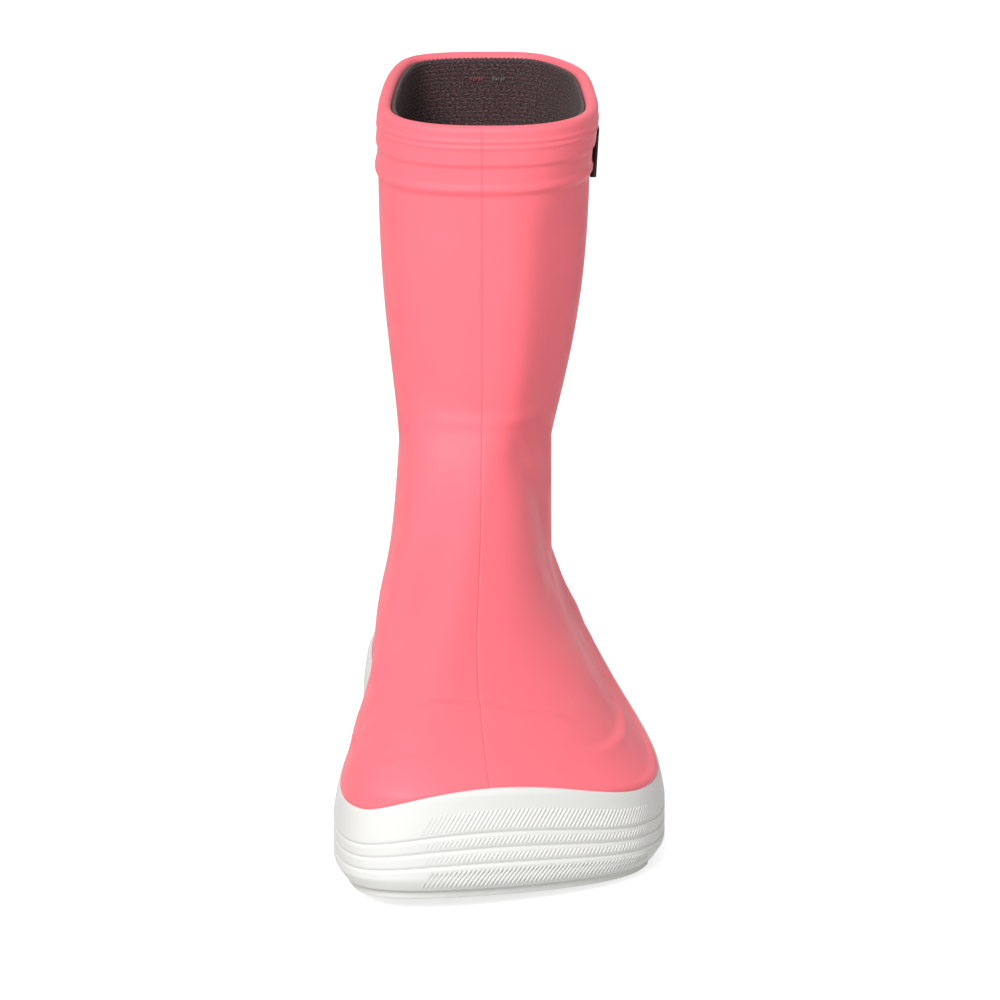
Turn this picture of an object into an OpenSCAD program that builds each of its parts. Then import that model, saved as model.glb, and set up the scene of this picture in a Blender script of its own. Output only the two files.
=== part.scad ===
// A child's left rubber boot: a moulded leg and foot in a cupped sole.
// The toe points to -Y, the outer side of the foot to +X and the collar up.

/* [Leg] */
// Height of the collar's rim above the ground
boot_h = 195; // [180:1:225]
// Width of the leg under the collar band
leg_w = 59; // [54:0.5:68]
// Depth of the leg under the collar band, front to back
leg_d = 95; // [88:0.5:106]
// Width of the ankle, where the leg is narrowest
ankle_w = 42; // [39:0.5:50]
// Depth of the ankle, front to back
ankle_d = 88; // [82:1:96]
// Height at which the leg starts to widen
ankle_h = 98; // [90:1:106]
// How far the ankle lies towards the inner side of the leg
ankle_shift = 2.8; // [0:0.1:5]
// How far the leg lies towards the inner side under the collar
collar_shift = 0.7; // [0:0.1:3]
// How far the rim leans back towards the outer side
collar_lean = 1.2; // [0:0.1:2]

/* [Foot] */
// Length of the rubber foot, heel to toe
foot_l = 205; // [185:1:225]
// Width of the rubber foot across the ball
foot_w = 88; // [80:1:98]
// Distance from the heel's back to the back of the ankle
heel_set = 9; // [6:0.5:12]
// Distance from the heel's back to the back of the collar
collar_set = 2.5; // [1:0.5:9]
// How far the tip of the toe is turned up
toe_spring = 4.5; // [2:0.5:8]

/* [Rubber] */
// Thickness of the rubber wall
wall = 2.6; // [2.2:0.1:3.4]
// Thickness of the rubber under the foot
floor_t = 2.2; // [1.6:0.1:3]
// Height of the thick band at the collar
band_h = 10.5; // [9:0.5:14]
// How far the band and the rib stand out from the leg
band_out = 1.1; // [0.6:0.1:1.6]
// Distance from the band's lower edge to the top of the rib
rib_gap = 5.5; // [4:0.5:7]
// Height of the rib under the band
rib_h = 2.6; // [1.8:0.2:4]

/* [Sole] */
// Height of the tread under the sidewall
tread_h = 2.6; // [2:0.1:4]
// Thickness of the tread's plate
plate_t = 1.9; // [1.4:0.1:3]
// Thickness of the sidewall cup's floor
cup_floor = 2; // [1.5:0.1:3]
// Thickness of the foam in the cup
core_t = 9.6; // [8:0.1:13]
// Height of the sidewall's top edge above the ground, along the sides
side_h = 25; // [23:0.5:27]
// How much higher the top edge is at the toe
toe_rise = 6; // [3:0.5:9]
// How much higher the top edge is at the heel
heel_rise = 5; // [2:0.5:9]
// How far the sidewall stands out from the rubber foot
sole_out = 2.4; // [1.6:0.1:3.2]
// How far the top edge of the sidewall stands out from the rubber foot
lip_out = 1.2; // [0.9:0.1:1.5]
// Depth of the grooves round the sidewall
groove_d = 0.7; // [0.4:0.1:1]
// Height of each groove's opening
groove_h = 1.4; // [1:0.1:2]
// Distance from one groove to the next
groove_pitch = 4.4; // [3.8:0.1:4.6]
// Height of the lowest groove at the toe
groove_z = 9.9; // [9.4:0.1:10.4]
// Length of one tread bar, along the foot
bar_l = 8; // [6:0.5:10]
// Distance from one row of tread bars to the next
bar_pitch = 12.5; // [11:0.5:15]
// Width of the channel between the two sides of the tread
channel_w = 5; // [3:0.5:8]
// Width of the solid lugs round the toe and the heel
lug_w = 7; // [5:0.5:9]

/* [Inside] */
// Thickness of the knitted lining
lining_t = 1.2; // [0.8:0.1:1.6]
// Distance from the rim to the lining's bound edge
lining_drop = 1.4; // [1.1:0.1:3]
// Height of the bound edge and of the ankle seam
seam_h = 1.2; // [0.8:0.1:2]
// Height of the lining's ankle seam above the narrowest part
seam_rise = 5; // [2:0.5:10]
// Thickness of the toe puff and the heel counter
stiffener_t = 0.9; // [0.6:0.1:1.2]
// Height of the toe puff above the insole board
puff_h = 28; // [22:1:34]
// Height of the heel counter above the insole board
counter_h = 42; // [34:1:50]
// Thickness of the insole board
board_t = 1.5; // [1:0.1:2.5]
// Thickness of the foam footbed
footbed_t = 5; // [3:0.5:7]
// How far the footbed's edge rises round the heel
footbed_cup = 2.5; // [1:0.5:4]
// Thickness of the footbed's cloth cover
cover_t = 0.8; // [0.5:0.1:1.2]
// Gap between the footbed and the lining
footbed_gap = 0.5; // [0.3:0.1:1]

/* [Label] */
// Width of the side label, along the leg's side
label_w = 26; // [18:1:34]
// Height of the side label
label_h = 15; // [10:1:18]
// Thickness of the side label over the band and the rib
label_t = 0.9; // [0.6:0.1:2]
// Distance from the rim to the label's top edge
label_drop = 7.5; // [6:0.5:12]
// How far the label's middle lies in front of the leg's middle
label_forward = 4; // [0:0.5:10]

/* [Tacks] */
// Length of one tack stitch at the back of the lining
tack_w = 3; // [2:0.25:4]
// Gap between the two tack stitches
tack_gap = 3.5; // [2:0.25:6]
// Thickness of a tack stitch
tack_t = 0.6; // [0.4:0.1:1]
// Distance from the rim to the tack stitches
tack_drop = 9; // [6:0.5:14]

/* [Hidden] */

// Clearance between pieces that are glued or sewn together
glue = 0.2;
// Depth to which the tread's plate lies in the sidewall's underside
plate_sink = 0.4;
// Points round one outline
N = 48;
STEP = 360 / N;
TURN = [for (i = [0 : N - 1]) i * STEP];

// Stack of the sole, from the ground up
plate_z = tread_h + plate_sink;
recess_z = plate_z + plate_t + glue / 2;
core_z = recess_z + cup_floor + glue / 2;
seat_z = core_z + core_t + glue;
floor_z = seat_z + floor_t;
board_z = floor_z + glue;
lining_z = board_z + board_t + glue;
footbed_z = board_z + board_t + glue / 2;
cover_z = footbed_z + footbed_t + glue / 2;

// The last's outline: sideways in hundredths of the foot's width from the leg's middle,
// lengthwise in hundredths of its length from the heel. Heel, inner side, toe, outer side.
LAST = [[1, -1], [-28, 1], [-40.5, 20], [-35.5, 37], [-46.3, 72.4], [-45.5, 92.4],
        [-31.9, 103.8], [39.1, 92.2], [59.9, 78.5], [43.4, 38.4], [33.8, 15], [26, 3]];
LAST_XY = [for (p = LAST) [p.x * foot_w / 100, -p.y * foot_l / 100]];

// Shares of the height from seat to ankle between which a wall turns from the foot's outline to
// the leg's, and how early it turns in: at the heel, the inner side, the toe and the outer side.
TURN_FROM = [0.18, 0.062, 0.148, 0.086];
TURN_TO = [1.06, 1.38, 1.2, 0.555];
TURN_EASE = [0.9, 0.52, 0.76, 0.53];
// Sharpness of the oval of the leg, where 2 is an ellipse, and how far it narrows to the back
OVAL = 3.3;
EGG = 0.09;
// How the leg widens from the ankle to the collar
LEG_EASE = [1.16, 3.1];
// Share of the leg's height, from the ankle, at which the rim starts to lean
LEAN_FROM = 0.66;
// Share of a layer's thickness that is laid on top where the wall slopes
SLOPE = 0.6;
// Share of the foot's length, from the heel, at which the toe starts to turn up
SPRING_FROM = 0.69;

function mix(a, b, t) = a + (b - a) * t;
function clamp(t) = min(1, max(0, t));
function smooth(t) = clamp(t) ^ 2 * (3 - 2 * clamp(t));
function signed_pow(v, e) = sign(v) * abs(v) ^ e;
function bump(a, middle, half) =
    let (off = abs((a - middle + 540) % 360 - 180))
    off < half ? cos(90 * off / half) ^ 2 : 0;

// A closed uniform cubic B-spline through a ring of control points
function spline(P, k) =
    let (n = len(P), i = floor(k), t = k - i,
         a = P[(i - 1 + n) % n], b = P[i % n], c = P[(i + 1) % n], d = P[(i + 2) % n])
    ((1 - t) ^ 3 * a + (3 * t ^ 3 - 6 * t ^ 2 + 4) * b
     + (1 + 3 * t + 3 * t ^ 2 - 3 * t ^ 3) * c + t ^ 3 * d) / 6;

// Turn angles run from the heel (0) by the inner side (90) and the toe (180) to the outer side (270)
function foot_xy(a) = spline(LAST_XY, ((a + 360) % 360) / 360 * len(LAST_XY));

function leg_xy(a, z) =
    let (t = clamp((z - ankle_h) / (boot_h - ankle_h)),
         s = 1 - (1 - t ^ LEG_EASE[0]) ^ LEG_EASE[1],
         half_w = mix(ankle_w, leg_w, s) / 2,
         half_d = mix(ankle_d, leg_d, s) / 2,
         back = -mix(heel_set, collar_set, s),
         across = signed_pow(sin(a), 2 / OVAL),
         along = signed_pow(cos(a), 2 / OVAL),
         lean = collar_lean * smooth((t - LEAN_FROM) / (1 - LEAN_FROM)))
    [lean - mix(ankle_shift, collar_shift, s) - half_w * across * (1 - EGG * along),
     back - half_d + half_d * along];

function by_side(v, a) =
    let (w = [max(0, cos(a)) ^ 2, max(0, sin(a)) ^ 2, max(0, -cos(a)) ^ 3, max(0, -sin(a)) ^ 2])
    (v * w) / (w * [1, 1, 1, 1]);

function wall_xy(a, z) =
    let (low = by_side(TURN_FROM, a), high = by_side(TURN_TO, a),
         h = clamp(((z - seat_z) / (ankle_h - seat_z) - low) / (high - low)),
         g = smooth(h ^ by_side(TURN_EASE, a)))
    mix(foot_xy(a), leg_xy(a, z), g);

// Middle of the foot's own box, which stands at the origin
FOOT_PTS = [for (a = TURN) foot_xy(a)];
FOOT_X = [for (p = FOOT_PTS) p.x];
FOOT_Y = [for (p = FOOT_PTS) p.y];
MIDDLE = [min(FOOT_X) + max(FOOT_X), min(FOOT_Y) + max(FOOT_Y)] / 2;
toe_y = min(FOOT_Y);

function lift(y) = toe_spring * max(0, (-SPRING_FROM * foot_l - y) / (-SPRING_FROM * foot_l - toe_y)) ^ 2;
function lift_slope(y) =
    let (run = -SPRING_FROM * foot_l - toe_y)
    2 * toe_spring * max(0, (-SPRING_FROM * foot_l - y) / run) / run;

// The outline at a height, set in by d along its own normal
function inset_xy(a, z, d) =
    let (zz = z + SLOPE * d,
         along = wall_xy(a + 1, zz) - wall_xy(a - 1, zz))
    wall_xy(a, zz) + d * [-along.y, along.x] / norm(along);

function place(p, z) = [p.x - MIDDLE.x, p.y - MIDDLE.y, z + lift(p.y)];
function skin(a, z, d) = place(inset_xy(a, z, d), z);
function ring(z, d) = [for (a = TURN) skin(a, z, d)];

// How far the band and the rib stand out at each height, with a shallow valley between them
RIB_FADE = 1.6;
RIM_ROUND = 0.9;
EDGE_SOFT = 1.2;
band_z = boot_h - band_h;
rib_top = band_z - rib_gap;
rib_z = rib_top - rib_h;
valley = 0.4 * band_out;
RELIEF = [[rib_z - RIB_FADE, 0], [rib_z, band_out], [rib_top - EDGE_SOFT, band_out], [rib_top, valley],
          [band_z - EDGE_SOFT, valley], [band_z, band_out], [boot_h - RIM_ROUND, band_out]];
function relief(z) = lookup(z, RELIEF);

// Levels of the wall, closest together over the toe
FOOT_ROWS = 13;
LEG_ROWS = 6;
FIRST_ROW = 2;
FOOT_LEVELS = [for (j = [0 : FOOT_ROWS]) mix(floor_z + FIRST_ROW, ankle_h, (j / FOOT_ROWS) ^ 1.15)];
LEG_LEVELS = [for (j = [1 : LEG_ROWS]) mix(ankle_h, rib_z - RIB_FADE, (j / LEG_ROWS) ^ 1.3)];
IN_LEVELS = concat([floor_z], FOOT_LEVELS, LEG_LEVELS, [boot_h - RIM_ROUND]);

// Side faces between rings of points, and ladders of triangles over the two ends
function strip(n, j, k) = [for (i = [0 : n - 1]) each
    [[j * n + i, k * n + i, k * n + (i + 1) % n], [j * n + i, k * n + (i + 1) % n, j * n + (i + 1) % n]]];
function ladder(n, base, shift, up) = [for (i = [0 : n / 2 - 1]) each
    let (p = base + i, q = base + i + 1, r = base + (n + shift - i - 1) % n, s = base + (n + shift - i) % n,
         tris = [[p, q, r], [p, r, s]])
    [for (t = tris) if (t[0] != t[1] && t[1] != t[2] && t[0] != t[2]) up ? [t[0], t[2], t[1]] : t]];

module loft(rings, closed = false, shift = 0) {
    n = len(rings[0]);
    m = len(rings);
    sides = [for (j = [0 : m - (closed ? 1 : 2)]) each strip(n, j, (j + 1) % m)];
    ends = closed ? [] : concat(ladder(n, 0, shift, false), ladder(n, (m - 1) * n, shift, true));
    polyhedron([for (r = rings) each r], concat(sides, ends), convexity = 10);
}

// A tube between two insets of the wall, over a list of heights
module wall_tube(heights, d_out, d_in) {
    last = len(heights) - 1;
    loft(concat([for (z = heights) ring(z, d_out)],
                [for (j = [last : -1 : 0]) ring(heights[j], d_in)]), closed = true);
}

// A patch of a layer over a range of turn angles and heights
module wall_patch(angles, heights, d_out, d_in) {
    last = len(heights) - 1;
    loft([for (a = angles) concat([for (z = heights) skin(a, z, d_out(a, z))],
                                  [for (j = [last : -1 : 0]) skin(a, heights[j], d_in(a, heights[j]))])],
         shift = -1);
}

// Stiffeners lie in shallow pockets of the wall and thin out towards their edges
PUFF_TURN = [for (i = [19 : 31]) i * STEP];
COUNTER_TURN = [for (i = [-9 : 9]) i * STEP];
PUFF_LEVELS = [for (z = FOOT_LEVELS) if (z > lining_z && z < lining_z + puff_h) z];
COUNTER_LEVELS = [for (z = FOOT_LEVELS) if (z > lining_z && z < lining_z + counter_h) z];
EDGE_SHARE = 0.45;
function pocket(a, z, turns, levels) =
    let (last = len(turns) - 1, middle = (turns[0] + turns[last]) / 2, half = (turns[last] - turns[0]) / 2,
         off = abs((a - middle + 540) % 360 - 180),
         inside = off < half + 0.01 && z > levels[0] - 0.01 && z < levels[len(levels) - 1] + 0.01,
         edge = off > half - 0.01 || z > levels[len(levels) - 1] - 0.01)
    inside ? stiffener_t * (edge ? EDGE_SHARE : 1) : 0;
function pockets(a, z) = pocket(a, z, PUFF_TURN, PUFF_LEVELS) + pocket(a, z, COUNTER_TURN, COUNTER_LEVELS);
function wall_in(a, z) = wall - pockets(a, z);

lining_d = wall + glue;
lining_in = lining_d + lining_t;
lining_top = boot_h - lining_drop;
seam_z = ankle_h + seam_rise;
LEG_LINING_LEVELS = concat([seam_z + seam_h / 2], [for (z = LEG_LEVELS) if (z > seam_z + seam_h) z],
                           [lining_top - seam_h - glue]);
FOOT_LINING_LEVELS = concat([lining_z], [for (z = FOOT_LEVELS) if (z > lining_z + 0.5) z],
                            [seam_z - seam_h / 2]);

// Height and inset of the points of the foot's rounded lower edge
FOOT_ROUND = [[0, 1.4], [0.6, 0.4], [1.6, 0]];
module upper_shell() {
    color([1, 0.53, 0.59])
        loft(concat([for (r = FOOT_ROUND) ring(seat_z + r[0], r[1])],
                    [for (z = FOOT_LEVELS) ring(z, 0)],
                    [for (j = [0 : LEG_ROWS - 2]) ring(LEG_LEVELS[j], 0)],
                    [for (r = RELIEF) ring(r[0], -r[1])],
                    [ring(boot_h, RIM_ROUND - band_out), ring(boot_h, wall - RIM_ROUND)],
                    [for (j = [len(IN_LEVELS) - 1 : -1 : 0])
                        [for (a = TURN) skin(a, IN_LEVELS[j], wall_in(a, IN_LEVELS[j]))]]));
}

module leg_lining() {
    color([0.3, 0.24, 0.25]) wall_tube(LEG_LINING_LEVELS, lining_d, lining_in);
}

module foot_lining() {
    color([0.34, 0.28, 0.29]) wall_tube(FOOT_LINING_LEVELS, lining_d, lining_in);
}

module lining_binding() {
    color([0.18, 0.12, 0.13]) wall_tube([lining_top - seam_h, lining_top], lining_d, lining_in);
}

module lining_seam() {
    bottom = seam_z - seam_h / 2 + glue;
    top = seam_z + seam_h / 2 - glue;
    color([0.2, 0.14, 0.15]) wall_tube([bottom, top], lining_d, lining_in);
}

// Two tack stitches lie on the lining at the back of the leg
module lining_tacks() {
    z = boot_h - tack_drop;
    reach = tack_gap / 2 + tack_w / 2;
    back = inset_xy(0, z, lining_in);
    color([0.55, 0.2, 0.2])
        for (side = [-1, 1])
            translate(place(back + [side * reach, -glue - tack_t / 2], z))
                cube([tack_w, tack_t, tack_t], center = true);
}

module toe_puff() {
    color([0.8, 0.75, 0.65])
        wall_patch(PUFF_TURN, PUFF_LEVELS, function(a, z) wall_in(a, z) + glue / 2,
                   function(a, z) wall + glue / 2);
}

module heel_counter() {
    color([0.78, 0.72, 0.62])
        wall_patch(COUNTER_TURN, COUNTER_LEVELS, function(a, z) wall_in(a, z) + glue / 2,
                   function(a, z) wall + glue / 2);
}

module insole_board() {
    color([0.76, 0.68, 0.52]) loft([ring(board_z, lining_d), ring(board_z + board_t, lining_d)]);
}

footbed_d = lining_in + footbed_gap;
CUP_EDGE = 7;
FOAM_ROUND = 0.7;
function cupped(z, d, share) = [for (a = TURN) skin(a, z + share * footbed_cup * bump(a, 0, 100), d)];

module footbed_foam() {
    top = footbed_z + footbed_t;
    color([0.85, 0.85, 0.82])
        loft([ring(footbed_z, footbed_d + FOAM_ROUND), ring(footbed_z + FOAM_ROUND, footbed_d),
              cupped(top, footbed_d, 1), ring(top, footbed_d + CUP_EDGE)]);
}

module footbed_cover() {
    top = cover_z + cover_t;
    color([0.42, 0.36, 0.37])
        loft([ring(cover_z, footbed_d + CUP_EDGE), cupped(cover_z, footbed_d, 1),
              cupped(top, footbed_d, 1), ring(top, footbed_d + CUP_EDGE)]);
}

LEDGE = 3;
module sole_core() {
    d = LEDGE + glue;
    color([0.93, 0.92, 0.88]) loft([ring(core_z, d), ring(core_z + core_t, d)]);
}

// Top edge of the sidewall, which rises over the toe and round the heel
TOE_MIDDLE = 194;
TOE_HALF = 31;
function edge_z(a) = side_h + toe_rise * bump(a, TOE_MIDDLE, TOE_HALF) + heel_rise * bump(a, 0, 105);
function edge_ring(down, d) = [for (a = TURN) skin(a, edge_z(a) - down, d)];

// The sidewall is a cup: grooves run round it, at the same share of its height everywhere,
// and its underside is recessed for the tread
function groove_ring(z, d) = [for (a = TURN) skin(a, z * edge_z(a) / (side_h + toe_rise), d)];
TREAD_SET = 1;
LIP = 0.6;
GROOVES = 3;
CUP_ROWS = 3;
// Height, and share of the sidewall's overhang, of the points where its foot rounds out
FOOT_CURVE = [[0, 0.04], [1.4, 0.54], [3.2, 0.88]];
module sole_sidewall() {
    grooves = [for (k = [0 : GROOVES - 1]) let (z = groove_z + k * groove_pitch) each
        [[z - groove_h / 2, sole_out], [z, sole_out - groove_d], [z + groove_h / 2, sole_out]]];
    color([0.96, 0.96, 0.95])
        loft(concat([ring(recess_z, TREAD_SET), ring(tread_h, TREAD_SET)],
                    [for (r = FOOT_CURVE) ring(tread_h + r[0], -r[1] * sole_out)],
                    [for (r = grooves) groove_ring(r[0], -r[1])],
                    [edge_ring(LIP, -lip_out), edge_ring(0, LIP - lip_out), edge_ring(0, -glue)],
                    [for (j = [1 : CUP_ROWS])
                        [for (a = TURN) skin(a, mix(edge_z(a), seat_z - glue, j / CUP_ROWS), -glue)]],
                    [ring(seat_z - glue, LEDGE), ring(core_z - glue / 2, LEDGE)]));
}

// Rows of slanted bars cross the tread, with a channel down the middle and solid lugs at both ends
BAR_SLANT = 12;
BAR_SINK = 0.8;
EDGE_SET = 1.6;
LUG_GAP = 2;
TOE_LUG = [for (i = [19 : 31]) i * STEP];
HEEL_LUG = [for (i = [-6 : 6]) i * STEP];
TOE_LUG_AT = 0.92;
function in_lug(a) =
    a <= HEEL_LUG[12] || a >= 360 + HEEL_LUG[0] || (a >= TOE_LUG[0] && a <= TOE_LUG[12]) ? 1 : 0;
module tread_bar(y, side) {
    reach = foot_w;
    rise = reach * tan(BAR_SLANT);
    x0 = channel_w / 2;
    bar = [[x0, -bar_l / 2], [reach, -bar_l / 2 + rise], [reach, bar_l / 2 + rise], [x0, bar_l / 2]];
    intersection() {
        polygon([for (a = TURN) inset_xy(a, 0, EDGE_SET + in_lug(a) * (lug_w + LUG_GAP))]);
        polygon([for (p = bar) [side * p.x, y + p.y]]);
    }
}

module tread_lug(turns) {
    polygon(concat([for (a = turns) inset_xy(a, 0, EDGE_SET)],
                   [for (i = [len(turns) - 1 : -1 : 0]) inset_xy(turns[i], 0, EDGE_SET + lug_w)]));
}

// A flat shape stands on the tread and tilts with the toe, as it does at one place along the foot
module on_tread(y) {
    translate([-MIDDLE.x, y - MIDDLE.y, lift(y)])
        rotate([-atan(lift_slope(y)), 0, 0])
            linear_extrude(plate_z + BAR_SINK)
                translate([0, -y]) children();
}

module outsole_tread() {
    rows = floor(foot_l / bar_pitch);
    color([0.9, 0.9, 0.88]) {
        loft([ring(plate_z, TREAD_SET + glue), ring(plate_z + plate_t, TREAD_SET + glue)]);
        difference() {
            union() {
                for (i = [1 : rows - 2])
                    for (side = [-1, 1])
                        let (y = -(i + 0.5) * foot_l / rows)
                            on_tread(y) tread_bar(y, side);
                on_tread(-TOE_LUG_AT * foot_l) tread_lug(TOE_LUG);
                on_tread(0) tread_lug(HEEL_LUG);
            }
            translate([-foot_w, -foot_l, -foot_w])
                cube([2 * foot_w, 2 * foot_l, foot_w]);
        }
    }
}

// The label lies over the band, the valley and the rib on the outer side of the leg
LABEL_PARTS = 8;
function side_turn(forward) = 270 - asin(signed_pow(2 * forward / leg_d, OVAL / 2));
module side_label() {
    top = boot_h - label_drop;
    bottom = top - label_h;
    turns = [for (i = [0 : LABEL_PARTS]) side_turn(label_forward + label_w * (0.5 - i / LABEL_PARTS))];
    steps = [for (r = RELIEF) if (r[0] > bottom && r[0] < top) r[0]];
    color([0.08, 0.07, 0.08])
        wall_patch(turns, concat([bottom], steps, [top]),
                   function(a, z) -band_out - glue - label_t, function(a, z) -relief(z) - glue);
}

upper_shell();
leg_lining();
foot_lining();
lining_binding();
lining_seam();
lining_tacks();
toe_puff();
heel_counter();
insole_board();
footbed_foam();
footbed_cover();
sole_core();
sole_sidewall();
outsole_tread();
side_label();
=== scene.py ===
# %% [markdown]
# # A child's rubber boot
# The real boot is a shell of pink rubber, cast in two mould halves, over a knitted sock. It stands in a
# white rubber cup with a foam core and a cleated tread. The frame below holds the solids at their real
# size. Each step puts a finer mesh in the place of one of them, with the relief that the solid leaves out.

# %% Load the frame
import math

import bpy
import numpy as np
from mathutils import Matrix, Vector


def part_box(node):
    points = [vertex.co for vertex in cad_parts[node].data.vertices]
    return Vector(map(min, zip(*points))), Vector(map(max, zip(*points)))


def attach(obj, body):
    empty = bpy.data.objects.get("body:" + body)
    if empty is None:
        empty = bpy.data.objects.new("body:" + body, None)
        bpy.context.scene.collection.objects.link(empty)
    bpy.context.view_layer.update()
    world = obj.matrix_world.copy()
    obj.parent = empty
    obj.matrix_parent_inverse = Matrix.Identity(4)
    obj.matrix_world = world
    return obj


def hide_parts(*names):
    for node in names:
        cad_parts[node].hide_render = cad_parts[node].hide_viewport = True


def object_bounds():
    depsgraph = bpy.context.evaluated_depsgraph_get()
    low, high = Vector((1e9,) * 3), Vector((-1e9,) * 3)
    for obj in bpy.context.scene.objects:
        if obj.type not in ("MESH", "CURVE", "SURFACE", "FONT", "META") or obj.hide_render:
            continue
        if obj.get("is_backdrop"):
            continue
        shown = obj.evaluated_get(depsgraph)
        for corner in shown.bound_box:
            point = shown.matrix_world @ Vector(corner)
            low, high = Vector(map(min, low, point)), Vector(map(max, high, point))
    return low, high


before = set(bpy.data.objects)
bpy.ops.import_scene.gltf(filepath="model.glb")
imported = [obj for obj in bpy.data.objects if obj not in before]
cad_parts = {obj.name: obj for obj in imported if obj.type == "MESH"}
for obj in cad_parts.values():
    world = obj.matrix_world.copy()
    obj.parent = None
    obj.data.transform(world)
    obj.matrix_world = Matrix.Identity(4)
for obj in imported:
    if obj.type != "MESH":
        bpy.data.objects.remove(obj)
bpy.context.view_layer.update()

# %% [markdown]
# ## Sizes
# All lengths here are millimetres, and meshes are turned to metres once, when they are made. The heights
# come from the frame where a solid shows them. The rest are the boot's own driving sizes.

# %% Sizes of the boot
MM = 0.001
BOOT_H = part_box("upper_shell")[1].z / MM
SEAT_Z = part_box("upper_shell")[0].z / MM
LEG_W, LEG_D = 59.0, 95.0
ANKLE_W, ANKLE_D, ANKLE_H, ANKLE_SHIFT = 42.0, 88.0, 98.0, 2.8
COLLAR_SHIFT, COLLAR_LEAN, LEAN_FROM = 0.7, 1.2, 0.8
FOOT_L, FOOT_W = 205.0, 88.0
HEEL_SET, COLLAR_SET, TOE_SPRING = 9.0, 2.5, 4.5
WALL, FLOOR_T = 2.6, 2.2
LINING_T, BOARD_T, GLUE = 1.2, 1.5, 0.2
SIDE_H, TOE_RISE, HEEL_RISE = 25.0, 6.0, 5.0
# Turn and half spread of the two rises of the sole's edge.
TOE_RISE_AT, HEEL_RISE_AT = (194, 31), (0, 105)
SOLE_OUT, LIP_OUT = 2.4, 1.2

# Sideways in hundredths of the foot's width, lengthwise in hundredths of its length from the heel.
LAST = np.array([[1, -1], [-28, 1], [-40.5, 20], [-35.5, 37], [-46.3, 72.4], [-45.5, 92.4],
                 [-31.9, 103.8], [39.1, 92.2], [59.9, 78.5], [43.4, 38.4], [33.8, 15], [26, 3]])
LAST_XY = LAST * [FOOT_W / 100, -FOOT_L / 100]
# Shares of the height from seat to ankle where the wall turns from foot to leg: heel, inner side, toe,
# outer side.
TURN_FROM = np.array([0.18, 0.062, 0.148, 0.086])
TURN_TO = np.array([1.06, 1.38, 1.2, 0.555])
TURN_EASE = np.array([0.9, 0.52, 0.76, 0.53])
# How square the leg's oval is, and how much squarer or rounder its corners become between some heights.
OVAL, EGG = 3.3, 0.09
BACK_SQUARER, BACK_ROUNDER, FRONT_ROUNDER, CORNER_ROUNDER = 0.9, 0.5, 0.6, 0.8
NEAR_RIM, OVER_INSTEP, UNDER_COLLAR = (150, BOOT_H), (66, 104), (160, 188)
COLLAR_SHARE = 0.8
LEG_EASE = (1.16, 3.1)
# An inner layer copies the wall from a little higher up, by this share of its distance in.
SLOPE = 0.6
SPRING_FROM = 0.69
print("boot height", round(BOOT_H, 1), "mm, seat of the foot at", round(SEAT_Z, 1), "mm")

# %% [markdown]
# ## The boot's surface as a formula
# A last is the form that a boot is moulded on. Its outline is a closed spline, the leg's is an oval, and
# every height in between is a blend of the two. A turn angle says where on the outline a point lies:
# 0 is the heel, 90 the inner side, 180 the toe and 270 the outer side. One formula for all layers keeps
# the lining inside the rubber and the rubber inside the sole.

# %% Small functions
def mix(a, b, t):
    return a + (b - a) * t


def ease(t):
    t = np.clip(t, 0, 1)
    return t * t * (3 - 2 * t)


def step(value, start, end):
    return ease((value - start) / (end - start))


def signed_power(value, power):
    return np.sign(value) * np.abs(value) ** power


def bell(value, middle, width):
    return np.exp(-((value - middle) / width) ** 2)


def bump(turn, middle, half):
    off = np.abs((turn - middle + 540) % 360 - 180)
    return np.where(off < half, np.cos(np.radians(90 * off / half)) ** 2, 0)


def unit(vectors):
    return vectors / np.linalg.norm(vectors, axis=-1, keepdims=True)


def way_along(line):
    """The way from the first point of a line to each of its points."""
    return np.concatenate([[0], np.cumsum(np.linalg.norm(np.diff(line, axis=0), axis=1))])


print("a bump at its middle, half way and end:", np.round(bump(np.array([0, 15, 30]), 0, 30), 2))

# %% Outline of the foot, of the leg and of the wall between them
def foot_outline(turn):
    k = (turn % 360) / 360 * len(LAST_XY)
    i = np.floor(k).astype(int)
    t = (k - i)[..., None]
    a, b, c, d = (LAST_XY[(i + j) % len(LAST_XY)] for j in (-1, 0, 1, 2))
    return ((1 - t) ** 3 * a + (3 * t**3 - 6 * t**2 + 4) * b
            + (1 + 3 * t + 3 * t**2 - 3 * t**3) * c + t**3 * d) / 6


def leg_outline(turn, z):
    t = np.clip((z - ANKLE_H) / (BOOT_H - ANKLE_H), 0, 1)
    s = 1 - (1 - t ** LEG_EASE[0]) ** LEG_EASE[1]
    half_w, half_d = mix(ANKLE_W, LEG_W, s) / 2, mix(ANKLE_D, LEG_D, s) / 2
    # The soft leg is rounder in front. Near the rim it is squarer at the back of the inner side.
    back = BACK_SQUARER * bump(turn, 45, 45) - BACK_ROUNDER * bump(turn, 315, 45)
    oval = OVAL + back * step(z, *NEAR_RIM) - FRONT_ROUNDER * bump(turn, 180, 90)
    rounder = step(z, *OVER_INSTEP) - COLLAR_SHARE * step(z, *UNDER_COLLAR)
    oval = oval - CORNER_ROUNDER * bump(turn, 225, 45) * rounder
    across = signed_power(np.sin(np.radians(turn)), 2 / oval)
    along = signed_power(np.cos(np.radians(turn)), 2 / oval)
    lean = COLLAR_LEAN * ease((t - LEAN_FROM) / (1 - LEAN_FROM))
    x = lean - mix(ANKLE_SHIFT, COLLAR_SHIFT, s) - half_w * across * (1 - EGG * along)
    y = -mix(HEEL_SET, COLLAR_SET, s) - half_d + half_d * along
    return np.stack([x, y], -1)


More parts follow.
